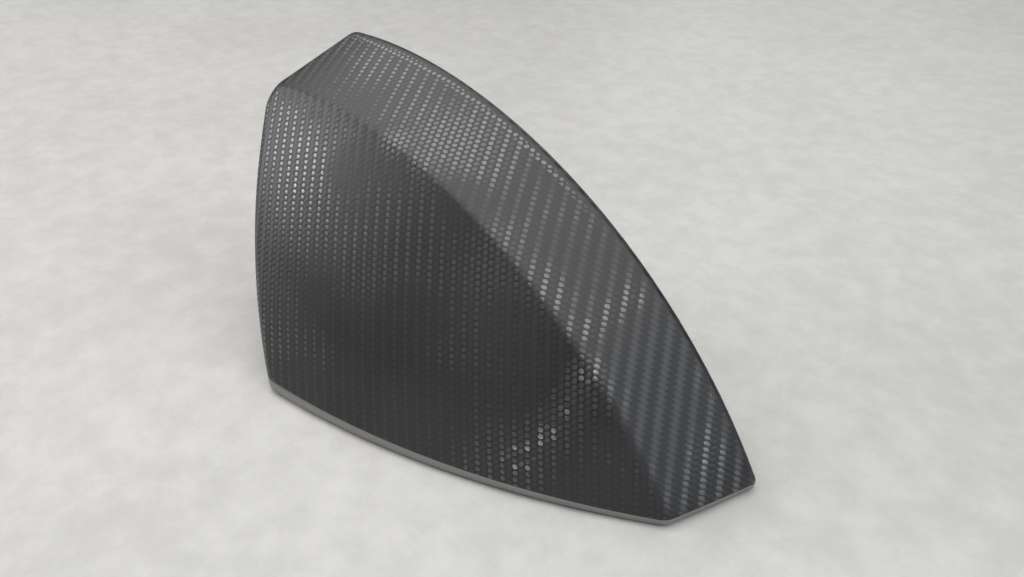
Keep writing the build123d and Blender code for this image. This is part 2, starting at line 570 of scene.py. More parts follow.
class InboardForm:
    """The flat inboard end, with a cloth of its own."""

    def __init__(self, form, cloth):
        lean = math.atan(form.inboard_slope)
        rise = np.array([-math.sin(lean), 0.0, math.cos(lean)])
        self.normal = unit(np.cross(form.fall, rise))
        self.side = unit(np.cross(rise, self.normal))
        self.up = np.cross(self.normal, self.side)
        self.origin = np.array([
            form.inboard_x - form.inboard_slope * form.middle_z,
            form.rear,
            form.middle_z,
        ])
        self.turn = cloth.inboard_turn

    def lay(self, cloth):
        """Points, normals and distances before the rear edge for places on the inboard end's cloth."""
        side = cloth[:, 0] * math.cos(self.turn) - cloth[:, 1] * math.sin(self.turn)
        up = cloth[:, 0] * math.sin(self.turn) + cloth[:, 1] * math.cos(self.turn)
        points = self.origin + side[:, None] * self.side + up[:, None] * self.up
        return points, np.tile(self.normal, (len(points), 1)), self.origin[1] - points[:, 1]

    def cloth(self, points):
        """Places on the inboard end's cloth for points on it."""
        side = (points - self.origin) @ self.side
        up = (points - self.origin) @ self.up
        across = side * math.cos(self.turn) + up * math.sin(self.turn)
        return np.column_stack([across, -side * math.sin(self.turn) + up * math.cos(self.turn)])


def float_places(pitch, reach):
    """Middles of the floats of the twill, and the turn of each, in the cloth's own axes."""
    count = int(reach / pitch)
    steps = np.arange(-count, count + 1)
    i, j = np.meshgrid(steps, steps, indexing="ij")
    order = (i - j) % TWILL_REPEAT
    weft = order == FLOAT_TOWS
    warp = order == 0
    first = np.concatenate([i[weft] + 0.5, i[warp]]) * pitch
    second = np.concatenate([j[weft], j[warp] - 0.5]) * pitch
    turns = np.concatenate([
        np.full(weft.sum(), WEFT_TURN),
        np.full(warp.sum(), WARP_TURN),
    ])
    cloth = np.column_stack([first - second, first + second]) / math.sqrt(2)
    return cloth, turns


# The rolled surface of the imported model

def merged_copy(name):
    """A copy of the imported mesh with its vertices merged."""
    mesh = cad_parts[NODE].data.copy()
    mesh.name = name
    work = bmesh.new()
    work.from_mesh(mesh)
    bmesh.ops.remove_doubles(work, verts=work.verts, dist=SAME_PLACE)
    work.normal_update()
    work.to_mesh(mesh)
    work.free()
    return mesh


def vertex_array(mesh):
    """The mesh's vertex places as rows."""
    flat = np.empty(len(mesh.vertices) * 3, np.float32)
    mesh.vertices.foreach_get("co", flat)
    return flat.reshape(-1, 3).astype(float)


def triangle_weights(place, a, b, c):
    """Shares of the three corners at a place on a triangle."""
    ab = b - a
    ac = c - a
    ap = place - a
    ab_ab = ab.dot(ab)
    ab_ac = ab.dot(ac)
    ac_ac = ac.dot(ac)
    ap_ab = ap.dot(ab)
    ap_ac = ap.dot(ac)
    area = ab_ab * ac_ac - ab_ac * ab_ac
    if area <= 0:
        return 1.0, 0.0, 0.0
    b_share = (ac_ac * ap_ab - ab_ac * ap_ac) / area
    c_share = (ab_ab * ap_ac - ab_ac * ap_ab) / area
    return 1 - b_share - c_share, b_share, c_share


def facets(mesh):
    """The mesh's triangles, its vertices, and their normals weighted by the areas round them."""
    places = vertex_array(mesh)
    faces = np.array([polygon.vertices[:3] for polygon in mesh.polygons])
    first = places[faces[:, 0]]
    spans = np.cross(places[faces[:, 1]] - first, places[faces[:, 2]] - first)
    normals = np.zeros_like(places)
    for corner in range(3):
        np.add.at(normals, faces[:, corner], spans)
    return faces.tolist(), [Vector(row) for row in places], [Vector(row) for row in unit(normals)]


def settle(points, normals, mesh):
    """Points drawn on to the rolled surface wherever they stand off it, with its normals there."""
    faces, corners, corner_normals = facets(mesh)
    tree = BVHTree.FromPolygons(corners, faces)
    out_points = points.copy()
    out_normals = normals.copy()
    for k in range(len(points)):
        start = Vector(points[k])
        place, _, face, _ = tree.find_nearest(start)
        ring = faces[face]
        shares = triangle_weights(place, *(corners[corner] for corner in ring))
        curved = place.copy()
        normal = Vector()
        for corner, share in zip(ring, shares):
            drop = (corners[corner] - place).dot(corner_normals[corner])
            curved += FACET_ROUND * share * drop * corner_normals[corner]
            normal += share * corner_normals[corner]
        gap = (curved - start).length
        pull = min(max((gap - SETTLE_NEAR) / (SETTLE_FAR - SETTLE_NEAR), 0.0), 1.0)
        out_points[k] += pull * (np.array(curved) - points[k])
        out_normals[k] += pull * (np.array(normal.normalized()) - normals[k])
    return out_points, unit(out_normals)


# Node helpers

def add_node(tree, kind, place, **values):
    """A new node at a place of the editor's grid, with its settings."""
    node = tree.nodes.new(kind)
    node.location = (place[0] * NODE_SPACING[0], place[1] * NODE_SPACING[1])
    for name, value in values.items():
        setattr(node, name, value)
    return node


def math_node(tree, operation, place, first, second=None, third=None):
    """A Math node whose inputs are sockets or numbers; returns its output."""
    node = add_node(tree, "ShaderNodeMath", place, operation=operation)
    for socket, value in zip(node.inputs, (first, second, third)):
        if value is None:
            continue
        if isinstance(value, (int, float)):
            socket.default_value = value
        else:
            tree.links.new(value, socket)
    return node.outputs[0]


def noise(tree, vector, size, place, roughness=0.5):
    """A Noise texture of a scale and detail; returns its value."""
    node = add_node(tree, "ShaderNodeTexNoise", place)
    scale, detail = size
    node.inputs["Scale"].default_value = scale
    node.inputs["Detail"].default_value = detail
    node.inputs["Roughness"].default_value = roughness
    tree.links.new(vector, node.inputs["Vector"])
    return node.outputs["Fac"]


def smooth_step(tree, value, limits, place):
    """Map Range from zero at the first limit to one at the second, eased; returns its output."""
    node = add_node(tree, "ShaderNodeMapRange", place, interpolation_type="SMOOTHSTEP")
    low, high = limits
    node.inputs["From Min"].default_value = low
    node.inputs["From Max"].default_value = high
    tree.links.new(value, node.inputs["Value"])
    return node.outputs["Result"]


def mix_colour(tree, share, first, second, place):
    """A Mix node between two colours, each a socket or three numbers; returns its colour."""
    node = add_node(tree, "ShaderNodeMix", place, data_type="RGBA")
    tree.links.new(share, node.inputs["Factor"])
    for number, value in zip(MIX_INPUTS, (first, second)):
        if isinstance(value, bpy.types.NodeSocket):
            tree.links.new(value, node.inputs[number])
        else:
            node.inputs[number].default_value = (*value, 1)
    return node.outputs[MIX_OUTPUT]


def attribute_value(tree, name, place):
    """The value of a mesh attribute."""
    return add_node(tree, "ShaderNodeAttribute", place, attribute_name=name).outputs["Fac"]


def add_patches(tree, vector, value, patches, place):
    """A value with soft round patches added to it."""
    column, first_row = place
    for row, (middle, reach, share) in enumerate(patches, first_row):
        gap = add_node(tree, "ShaderNodeVectorMath", (column, row), operation="DISTANCE")
        gap.inputs[1].default_value = middle
        tree.links.new(vector, gap.inputs[0])
        patch = smooth_step(tree, gap.outputs["Value"], (reach, 0.0), (column + 1, row))
        value = math_node(tree, "MULTIPLY_ADD", (column + 2, row), patch, share, value)
    return value


def add_bump(tree, shader, height, strength, place):
    """A Bump node on the shader's normal."""
    bump = add_node(tree, "ShaderNodeBump", place)
    bump.inputs["Strength"].default_value = strength
    bump.inputs["Distance"].default_value = BUMP_HEIGHT
    tree.links.new(height, bump.inputs["Height"])
    tree.links.new(bump.outputs[0], shader.inputs["Normal"])


# The woven floats

def read_attribute(tree, name, place):
    """The value of a named attribute in a geometry tree."""
    node = add_node(tree, "GeometryNodeInputNamedAttribute", place, data_type="FLOAT")
    node.inputs["Name"].default_value = name
    return node.outputs["Attribute"]


def store_attribute(tree, geometry, name, value, domain, place, data_type="FLOAT"):
    """Geometry with a value stored on it under a name."""
    node = add_node(tree, "GeometryNodeStoreNamedAttribute", place, data_type=data_type, domain=domain)
    node.inputs["Name"].default_value = name
    tree.links.new(geometry, node.inputs["Geometry"])
    tree.links.new(value, node.inputs["Value"])
    return node.outputs[0]


def crowned_float(tree, start):
    """One float: a small grid whose middle rises to an oval crown, with a UV map along its fibres."""
    link = tree.links.new
    pitch = start.outputs["Tow Pitch"]
    grid = add_node(tree, "GeometryNodeMeshGrid", (2, 1))
    grid.inputs["Vertices X"].default_value = VERTICES_ALONG
    grid.inputs["Vertices Y"].default_value = VERTICES_ACROSS
    link(math_node(tree, "MULTIPLY", (1, 1), pitch, FLOAT_TOWS), grid.inputs["Size X"])
    link(pitch, grid.inputs["Size Y"])
    place = add_node(tree, "GeometryNodeInputPosition", (1, 3))
    split = add_node(tree, "ShaderNodeSeparateXYZ", (2, 3))
    link(place.outputs[0], split.inputs[0])
    half_length = math_node(tree, "MULTIPLY", (2, 4), pitch, CROWN_LENGTH)
    half_width = math_node(tree, "MULTIPLY", (2, 5), pitch, 0.5)
    along = math_node(tree, "DIVIDE", (3, 3), split.outputs["X"], half_length)
    across = math_node(tree, "DIVIDE", (3, 4), split.outputs["Y"], half_width)
    along = math_node(tree, "MULTIPLY", (4, 3), along, along)
    across = math_node(tree, "MULTIPLY", (4, 4), across, across)
    crown = math_node(tree, "SUBTRACT", (6, 3), 1.0, math_node(tree, "ADD", (5, 3), along, across))
    crown = math_node(tree, "MAXIMUM", (7, 3), crown, 0.0)
    crown = math_node(tree, "MULTIPLY_ADD", (8, 3), crown, start.outputs["Relief"], start.outputs["Lift"])
    offset = add_node(tree, "ShaderNodeCombineXYZ", (9, 3))
    link(crown, offset.inputs["Z"])
    raised = add_node(tree, "GeometryNodeSetPosition", (10, 1))
    link(grid.outputs["Mesh"], raised.inputs["Geometry"])
    link(offset.outputs[0], raised.inputs["Offset"])
    chart = grid.outputs["UV Map"]
    return store_attribute(tree, raised.outputs[0], "fibre", chart, "CORNER", (11, 1), "FLOAT2")


def weave_tree():
    """Geometry nodes that set one crowned float on each point and join their edges."""
    tree = bpy.data.node_groups.new(WEAVE_GROUP, "GeometryNodeTree")
    for name, kind in WEAVE_INPUTS:
        tree.interface.new_socket(name, in_out="INPUT", socket_type=kind)
    tree.interface.new_socket("Geometry", in_out="OUTPUT", socket_type="NodeSocketGeometry")
    link = tree.links.new
    start = add_node(tree, "NodeGroupInput", (0, 0))

    # A float on every point, turned along its tow, with a chance of its own
    turn = read_attribute(tree, "turn", (11, 4))
    angle = add_node(tree, "ShaderNodeCombineXYZ", (12, 4))
    link(turn, angle.inputs["Z"])
    spread = add_node(tree, "GeometryNodeInstanceOnPoints", (13, 1))
    link(start.outputs["Geometry"], spread.inputs["Points"])
    link(crowned_float(tree, start), spread.inputs["Instance"])
    link(angle.outputs[0], spread.inputs["Rotation"])
    chance = add_node(tree, "FunctionNodeRandomValue", (13, 4), data_type="FLOAT")
    link(start.outputs["Seed"], chance.inputs["Seed"])
    drawn = chance.outputs["Value"]
    floats = store_attribute(tree, spread.outputs[0], "float_chance", drawn, "INSTANCE", (14, 1))

    # One welded sheet that keeps each float's chance and turn on its faces
    real = add_node(tree, "GeometryNodeRealizeInstances", (15, 1))
    link(floats, real.inputs[0])
    kept = read_attribute(tree, "float_chance", (15, 4))
    sheet = store_attribute(tree, real.outputs[0], "shade", kept, "FACE", (16, 1))
    sheet = store_attribute(tree, sheet, "bias", turn, "FACE", (17, 1))
    merge = add_node(tree, "GeometryNodeMergeByDistance", (18, 1))
    merge.inputs["Distance"].default_value = FLOAT_JOIN
    link(sheet, merge.inputs["Geometry"])
    smooth = add_node(tree, "GeometryNodeSetShadeSmooth", (19, 1))
    link(merge.outputs[0], smooth.inputs["Geometry"])
    paint = add_node(tree, "GeometryNodeSetMaterial", (20, 1))
    link(smooth.outputs[0], paint.inputs["Geometry"])
    link(start.outputs["Material"], paint.inputs["Material"])
    end = add_node(tree, "NodeGroupOutput", (21, 1))
    link(paint.outputs[0], end.inputs[0])
    return tree


def flat_cloth(name, places, turns, settings, material):
    """A flat woven mesh with one float at each place."""
    mesh = bpy.data.meshes.new(name + "_points")
    mesh.from_pydata(np.column_stack([places, np.zeros(len(places))]).tolist(), [], [])
    attribute = mesh.attributes.new("turn", "FLOAT", "POINT")
    attribute.data.foreach_set("value", turns.astype(np.float32))
    points = bpy.data.objects.new(name + "_points", mesh)
    bpy.context.scene.collection.objects.link(points)
    tree = bpy.data.node_groups.get(WEAVE_GROUP) or weave_tree()
    modifier = points.modifiers.new("Weave", "NODES")
    modifier.node_group = tree
    values = {
        "Tow Pitch": settings.tow_pitch,
        "Relief": settings.relief,
        "Lift": settings.lift,
        "Seed": settings.seed,
        "Material": material,
    }
    for item in tree.interface.items_tree:
        if item.in_out == "INPUT" and item.name in values:
            modifier[item.identifier] = values[item.name]
    depsgraph = bpy.context.evaluated_depsgraph_get()
    woven = bpy.data.meshes.new_from_object(points.evaluated_get(depsgraph))
    woven.name = name
    points.modifiers.clear()
    bpy.data.objects.remove(points)
    bpy.data.meshes.remove(mesh)
    return woven


def crown_share(points):
    """How far the crowns stand up at each point: less where the resin over them is thick."""
    thin = np.zeros(len(points))
    for middle, reach, share in RESIN_AND_LIGHT_PATCHES:
        near = np.clip(1 - np.linalg.norm(points - np.array(middle), axis=1) / reach, 0, 1)
        thin += share * near * near * (3 - 2 * near)
    return np.clip(CROWN_HEIGHT + CROWN_GROWTH * thin, CROWN_LOWEST, CROWN_HIGHEST)


def drape(mesh, lay, settings, surface):
    """Moves a flat woven mesh on to the form, with a crease round every float."""
    flat = vertex_array(mesh)
    low = flat[:, 2] < settings.lift + SAME_PLACE
    ends = np.empty(len(mesh.edges) * 2, np.int32)
    mesh.edges.foreach_get("vertices", ends)
    ends = ends.reshape(-1, 2)
    crease = mesh.attributes.new("sharp_edge", "BOOLEAN", "EDGE")
    crease.data.foreach_set("value", low[ends[:, 0]] & low[ends[:, 1]])
    points, normals, before = lay(flat[:, :2])
    points, normals = settle(points, normals, surface)
    share = crown_share(points) * np.clip((before - FOLD_FLAT) / (FOLD_END - FOLD_FLAT), 0, 1)
    rise = settings.lift + (flat[:, 2] - settings.lift) * share
    placed = points + rise[:, None] * normals
    mesh.vertices.foreach_set("co", placed.astype(np.float32).ravel())
    edge = mesh.attributes.new("rear_gap", "FLOAT", "POINT")
    edge.data.foreach_set("value", np.minimum(before, FRONT_GAP).astype(np.float32))
    mesh.update()


def trim_cloth(mesh, settings):
    """Cuts the cloth off above the plain strip along the rim, and before the rear lip."""
    low, high = cad_box
    rise = (settings.strip_outboard - settings.strip_inboard) / (high.x - low.x)
    cuts = (
        ((low.x, 0.0, settings.strip_inboard), (-rise, 0.0, 1.0)),
        ((0.0, high.y - REAR_CUT, 0.0), (0.0, -1.0, 0.0)),
    )
    work = bmesh.new()
    work.from_mesh(mesh)
    for place, facing in cuts:
        bmesh.ops.bisect_plane(
            work,
            geom=work.verts[:] + work.edges[:] + work.faces[:],
            plane_co=place,
            plane_no=facing,
            clear_inner=True,
        )
    bmesh.ops.dissolve_degenerate(work, dist=SAME_PLACE, edges=work.edges)
    tuck_edges(work)
    work.to_mesh(mesh)
    work.free()


def tuck_edges(work):
    """Turns the cloth's open edges down into the laminate."""
    work.normal_update()
    rims = [edge for edge in work.edges if edge.is_boundary]
    for edge in rims:
        edge.smooth = False
    made = bmesh.ops.extrude_edge_only(work, edges=rims)["geom"]
    turned = {item for item in made if isinstance(item, bmesh.types.BMVert)}
    for vertex in turned:
        ends = (edge.other_vert(vertex) for edge in vertex.link_edges)
        source = next(end for end in ends if end not in turned)
        vertex.co -= TUCK_DEPTH * source.normal


def chart_shell(mesh, form, inboard):
    """A UV map in metres: each face lies on the chart of the surface that it is nearest to."""
    places = vertex_array(mesh)
    charts = np.stack([
        form.front_cloth(places),
        form.roof_cloth(places),
        inboard.cloth(places),
        places[:, [0, 2]],
        places[:, [0, 1]],
    ])
    middles = np.empty(len(mesh.polygons) * 3, np.float32)
    mesh.polygons.foreach_get("center", middles)
    middles = middles.reshape(-1, 3).astype(float)
    gaps = np.stack([
        np.abs(np.linalg.norm(middles - form.centre, axis=1) - form.radius),
        np.abs(form.roof_height(middles)),
        np.abs((middles - inboard.origin) @ inboard.normal),
        np.abs(middles[:, 1] - form.rear),
        np.abs(middles[:, 2]),
    ])
    nearest = np.argmin(gaps, axis=0)
    totals = np.empty(len(mesh.polygons), np.int32)
    mesh.polygons.foreach_get("loop_total", totals)
    corners = np.empty(len(mesh.loops), np.int32)
    mesh.loops.foreach_get("vertex_index", corners)
    layer = mesh.uv_layers.new(name="weave")
    layer.data.foreach_set("uv", charts[np.repeat(nearest, totals), corners].astype(np.float32).ravel())


# Materials

def carbon_base(name):
    """A new dark laminate material with its main nodes."""
    material = bpy.data.materials.new(name)
    material.use_nodes = True
    tree = material.node_tree
    tree.nodes.clear()
    output = add_node(tree, "ShaderNodeOutputMaterial", (12, 0))
    shader = add_node(tree, "ShaderNodeBsdfPrincipled", (10, 0))
    tree.links.new(shader.outputs[0], output.inputs["Surface"])
    material.diffuse_color = VIEW_COLOUR
    return material, tree, shader


def pinholes(tree, vector, place):
    """One in a few small pits of the resin and zero elsewhere."""
    column, row = place
    cells = add_node(tree, "ShaderNodeTexVoronoi", (column, row))
    cells.inputs["Scale"].default_value = PINHOLE_SCALE
    tree.links.new(vector, cells.inputs["Vector"])
    chance = add_node(tree, "ShaderNodeSeparateColor", (column + 1, row + 1))
    tree.links.new(cells.outputs["Color"], chance.inputs[0])
    kept = math_node(tree, "GREATER_THAN", (column + 2, row + 1), chance.outputs[0], PINHOLE_CHANCE)
    pit = smooth_step(tree, cells.outputs["Distance"], PINHOLE_RANGE, (column + 1, row))
    return math_node(tree, "MULTIPLY", (column + 3, row), pit, kept)


def crown_masks(tree, fibre, place):
    """Shares of a float's crown and of the groove round it, both with ragged edges."""
    middle = add_node(tree, "ShaderNodeMapping", (1, 6))
    middle.inputs["Location"].default_value = (-1 / CROWN_LENGTH, -1 / CROWN_WIDTH, 0)
    middle.inputs["Scale"].default_value = (2 / CROWN_LENGTH, 2 / CROWN_WIDTH, 0)
    tree.links.new(fibre, middle.inputs["Vector"])
    span = add_node(tree, "ShaderNodeVectorMath", (2, 6), operation="LENGTH")
    tree.links.new(middle.outputs[0], span.inputs[0])
    ragged = noise(tree, place, RAGGED_NOISE, (1, 7))
    reach = math_node(tree, "MULTIPLY_ADD", (2, 7), ragged, RAGGED_DEPTH, span.outputs["Value"])
    crown = smooth_step(tree, reach, CROWN_RANGE, (3, 6))
    inner = smooth_step(tree, reach, GROOVE_INNER, (3, 7))
    outer = smooth_step(tree, reach, GROOVE_OUTER, (3, 8))
    return crown, math_node(tree, "MULTIPLY", (4, 7), inner, outer)


def fibre_streaks(tree, fibre, shade):
    """Fine streaks along each float's fibres, different on every float."""
    stretch = add_node(tree, "ShaderNodeMapping", (2, 2))
    stretch.inputs["Scale"].default_value = STREAK_STRETCH
    tree.links.new(fibre, stretch.inputs["Vector"])
    offset = add_node(tree, "ShaderNodeCombineXYZ", (2, 3))
    tree.links.new(math_node(tree, "MULTIPLY", (1, 3), shade, STREAK_SHIFT), offset.inputs["Z"])
    shift = add_node(tree, "ShaderNodeVectorMath", (3, 2), operation="ADD")
    tree.links.new(stretch.outputs[0], shift.inputs[0])
    tree.links.new(offset.outputs[0], shift.inputs[1])
    return noise(tree, shift.outputs[0], STREAK_NOISE, (4, 2))


def bare_share(tree, place, thin):
    """How bare the crowns are, from how thin the resin over them is, with painted shade on the weft crowns
    and a painted highlight in a row along the rear edge.
    """
    bare = smooth_step(tree, thin, BARE_RANGE, (5, 4))
    bare = math_node(tree, "MAXIMUM", (5, 5), bare, LEAST_BARE)

    # The weft crowns are dulled, a painted shade as the light catches only the other set, and come bright
    # in a few patches only, a painted highlight.
    half_way = (WEFT_TURN + WARP_TURN) / 2
    weft = math_node(tree, "LESS_THAN", (1, 5), attribute_value(tree, "bias", (0, 5)), half_way)
    shown = add_patches(tree, place, 0.0, WEFT_HIGHLIGHT_PATCHES, (2, 48))
    dulled_weft = math_node(tree, "SUBTRACT", (5, 48), WEFT_DULLED, shown)
    dulled_weft = math_node(tree, "MAXIMUM", (6, 48), dulled_weft, 0.0)
    dulled_weft = math_node(tree, "MULTIPLY", (7, 48), dulled_weft, weft)
    bare = math_node(tree, "MULTIPLY", (6, 4), bare, math_node(tree, "SUBTRACT", (8, 48), 1.0, dulled_weft))

    # The fold along the rear edge is covered, and the row of crowns before it is made bare and bright
    # inboard: a painted highlight along the rear edge.
    gap = attribute_value(tree, "rear_gap", (0, 9))
    split = add_node(tree, "ShaderNodeSeparateXYZ", (1, 9))
    tree.links.new(place, split.inputs[0])
    row = smooth_step(tree, gap, ROW_RANGE, (5, 6))
    inboard = smooth_step(tree, split.outputs["X"], ROW_FADE, (5, 8))
    row = math_node(tree, "MULTIPLY", (6, 7), row, inboard)
    bare = math_node(tree, "MAXIMUM", (6, 5), bare, row)
    return math_node(tree, "MULTIPLY", (6, 6), bare, smooth_step(tree, gap, FOLD_RANGE, (5, 7)))


def woven_material(finish):
    """Satin woven carbon: bare crowns with fibre streaks, standing out of uneven resin, with painted shade
    in the grooves and painted glints.
    """
    material, tree, shader = carbon_base("Woven Carbon")
    link = tree.links.new
    place = add_node(tree, "ShaderNodeTexCoord", (0, 0)).outputs["Object"]
    fibre = add_node(tree, "ShaderNodeUVMap", (0, 2), uv_map="fibre").outputs[0]
    shade = attribute_value(tree, "shade", (0, 4))
    resin = noise(tree, place, RESIN_NOISE, (2, 0))
    cover = noise(tree, place, THIN_NOISE, (2, 1))
    streak = fibre_streaks(tree, fibre, shade)
    pits = pinholes(tree, place, (6, 20))

    # Bare crowns, each with a ring of relief and painted shade round it, show where the resin over them is
    # thin; the patches also place painted highlight.
    thin = math_node(tree, "MULTIPLY_ADD", (4, 4), shade, SHADE_THINNING, cover)
    thin = add_patches(tree, place, thin, RESIN_AND_LIGHT_PATCHES, (2, 10))
    bare = bare_share(tree, place, thin)
    on_crown, in_groove = crown_masks(tree, fibre, place)
    groove_and_shade = math_node(tree, "MULTIPLY", (7, 5), smooth_step(tree, bare, GROOVE_RANGE, (7, 6)), in_groove)
    bare = math_node(tree, "MULTIPLY", (7, 4), bare, on_crown)

    # Colour: resin with painted shade in the grooves, then the crowns, some with a painted glint where the
    # resin is thinnest
    clouds = smooth_step(tree, resin, CLOUD_RANGE, (5, 0))
    matrix = mix_colour(tree, clouds, finish.resin_dark, finish.resin_pale, (6, 0))
    # Painted shade darkens the resin in the ring round each bare crown
    matrix = mix_colour(tree, groove_and_shade, matrix, finish.groove_and_shade, (6, 1))
    crown = mix_colour(tree, streak, finish.crown_dark, finish.crown_pale, (7, 1))
    # Painted glint: a bright colour on chosen crowns where the resin is thinnest
    thinnest = smooth_step(tree, thin, GLINT_RANGE, (5, 2))
    chosen = smooth_step(tree, shade, GLINT_SHADES, (5, 3))
    glint = math_node(tree, "MULTIPLY", (6, 3), thinnest, chosen)
    crown = mix_colour(tree, glint, crown, finish.glint, (7, 2))
    colour = mix_colour(tree, bare, matrix, crown, (8, 0))
    link(mix_colour(tree, pits, colour, finish.pinhole, (9, 0)), shader.inputs["Base Color"])

    # Gloss, drawn out along the fibres
    link(math_node(tree, "MULTIPLY", (8, 1), bare, CROWN_METAL), shader.inputs["Metallic"])
    rough = math_node(tree, "MULTIPLY_ADD", (6, 2), resin, CLOUD_ROUGHNESS, RESIN_ROUGHNESS)
    rough = math_node(tree, "MULTIPLY_ADD", (8, 2), bare, CROWN_POLISH, rough)
    link(rough, shader.inputs["Roughness"])
    shader.inputs["Specular IOR Level"].default_value = RESIN_SPECULAR
    shader.inputs["Anisotropic"].default_value = FIBRE_SHEEN
    tangent = add_node(tree, "ShaderNodeTangent", (8, 4), direction_type="UV_MAP", uv_map="fibre")
    link(tangent.outputs[0], shader.inputs["Tangent"])

    # Fine relief: streaks on the crowns, grooves round them and pits in the resin
    height = math_node(tree, "MULTIPLY", (7, 3), streak, bare)
    height = math_node(tree, "SUBTRACT", (8, 3), height, groove_and_shade)
    height = math_node(tree, "SUBTRACT", (9, 4), height, pits)
    add_bump(tree, shader, height, CLOTH_BUMP, (9, 3))
    return material


def twill_crowns(tree, pitch):
    """Height of the twill from the shell's charts."""
    chart = add_node(tree, "ShaderNodeUVMap", (0, 4), uv_map="weave").outputs[0]
    turned = add_node(tree, "ShaderNodeMapping", (1, 4))
    turned.inputs["Rotation"].default_value = (0, 0, WEFT_TURN)
    turned.inputs["Scale"].default_value = (1 / pitch, 1 / pitch, 1)
    tree.links.new(chart, turned.inputs["Vector"])
    split = add_node(tree, "ShaderNodeSeparateXYZ", (2, 4))
    tree.links.new(turned.outputs[0], split.inputs[0])
    first = split.outputs["X"]
    second = split.outputs["Y"]
    steps = math_node(tree, "SUBTRACT", (4, 4), math_node(tree, "FLOOR", (3, 4), first),
                      math_node(tree, "FLOOR", (3, 5), second))
    order = math_node(tree, "FLOORED_MODULO", (5, 4), steps, TWILL_REPEAT)
    over = math_node(tree, "LESS_THAN", (6, 4), order, FLOAT_TOWS)
    across = math_node(tree, "FRACT", (4, 5), second)
    along = math_node(tree, "FRACT", (4, 6), first)
    side = math_node(tree, "MULTIPLY_ADD", (6, 5), over,
                     math_node(tree, "SUBTRACT", (5, 5), across, along), along)
    return math_node(tree, "SINE", (8, 5), math_node(tree, "MULTIPLY", (7, 5), side, math.pi))


def laminate_material(pitch, finish):
    """The same laminate inside and on the lips, where the weave lies under more resin."""
    material, tree, shader = carbon_base("Resin Laminate")
    link = tree.links.new
    place = add_node(tree, "ShaderNodeTexCoord", (0, 0)).outputs["Object"]
    resin = noise(tree, place, INSIDE_NOISE, (2, 0))
    grain = noise(tree, place, GRAIN_NOISE, (2, 2))
    split = add_node(tree, "ShaderNodeSeparateXYZ", (2, 1))
    link(place, split.inputs[0])
    # The strip along the rim is plain and pale: a painted reflection of the floor, with no weave showing.
    strip = smooth_step(tree, split.outputs["Z"], STRIP_RANGE, (3, 1))
    weave = math_node(tree, "MULTIPLY", (9, 5), twill_crowns(tree, pitch),
                      math_node(tree, "SUBTRACT", (8, 6), 1.0, strip))
    clouds = smooth_step(tree, resin, CLOUD_RANGE, (5, 0))
    dark = mix_colour(tree, clouds, finish.inside_dark, finish.inside_pale, (6, 0))
    shown = math_node(tree, "MULTIPLY", (7, 2), weave, INSIDE_WEAVE)
    dark = mix_colour(tree, shown, dark, finish.inside_weave, (7, 0))
    link(mix_colour(tree, strip, dark, finish.strip, (8, 0)), shader.inputs["Base Color"])
    rough = math_node(tree, "MULTIPLY_ADD", (6, 2), resin, INSIDE_CLOUDS, INSIDE_ROUGHNESS)
    link(rough, shader.inputs["Roughness"])
    height = math_node(tree, "ADD", (9, 3), weave, grain)
    add_bump(tree, shader, height, INSIDE_BUMP, (9, 2))
    return material


def floor_material(finish):
    """Pale mineral floor with fine mottling."""
    material = bpy.data.materials.new("Pale Floor")
    material.use_nodes = True
    tree = material.node_tree
    shader = tree.nodes["Principled BSDF"]
    place = add_node(tree, "ShaderNodeTexCoord", (-8, 0)).outputs["Object"]
    broad = noise(tree, place, BROAD_NOISE, (-6, 0))
    fine = noise(tree, place, FINE_NOISE, (-6, 1), FINE_ROUGHNESS)
    broad = math_node(tree, "MULTIPLY", (-5, 1), broad, 1 - FINE_SHARE)
    mottle = math_node(tree, "MULTIPLY_ADD", (-5, 0), fine, FINE_SHARE, broad)
    share = smooth_step(tree, mottle, MOTTLE_RANGE, (-4, 0))
    colour = mix_colour(tree, share, finish.floor_dark, finish.floor_pale, (-3, 0))
    tree.links.new(colour, shader.inputs["Base Color"])
    shader.inputs["Roughness"].default_value = FLOOR_ROUGHNESS
    return material


# Pieces

def add_piece(name, mesh):
    """An object for a finished mesh, riding on the part's one body."""
    piece = bpy.data.objects.new(name, mesh)
    bpy.context.scene.collection.objects.link(piece)
    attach(piece, BODY)
    return piece


class COVER_OT_shell(bpy.types.Operator):
    """Make the laminate shell with its rolled edges and lips"""

    bl_idname = "cover.shell"
    bl_label = "Make Shell"

    def execute(self, context):
        cloth = context.scene.cover_cloth
        form = SharpForm(context.scene.cover_form, cloth)
        mesh = merged_copy("laminate_shell")
        chart_shell(mesh, form, InboardForm(form, cloth))
        mesh.materials.clear()
        mesh.materials.append(laminate_material(cloth.tow_pitch, context.scene.cover_finish))
        mesh.polygons.foreach_set("use_smooth", np.ones(len(mesh.polygons), bool))
        mesh.set_sharp_from_angle(angle=SHARP_ANGLE)
        piece = add_piece("laminate_shell", mesh)
        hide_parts(NODE)
        return {"FINISHED"}


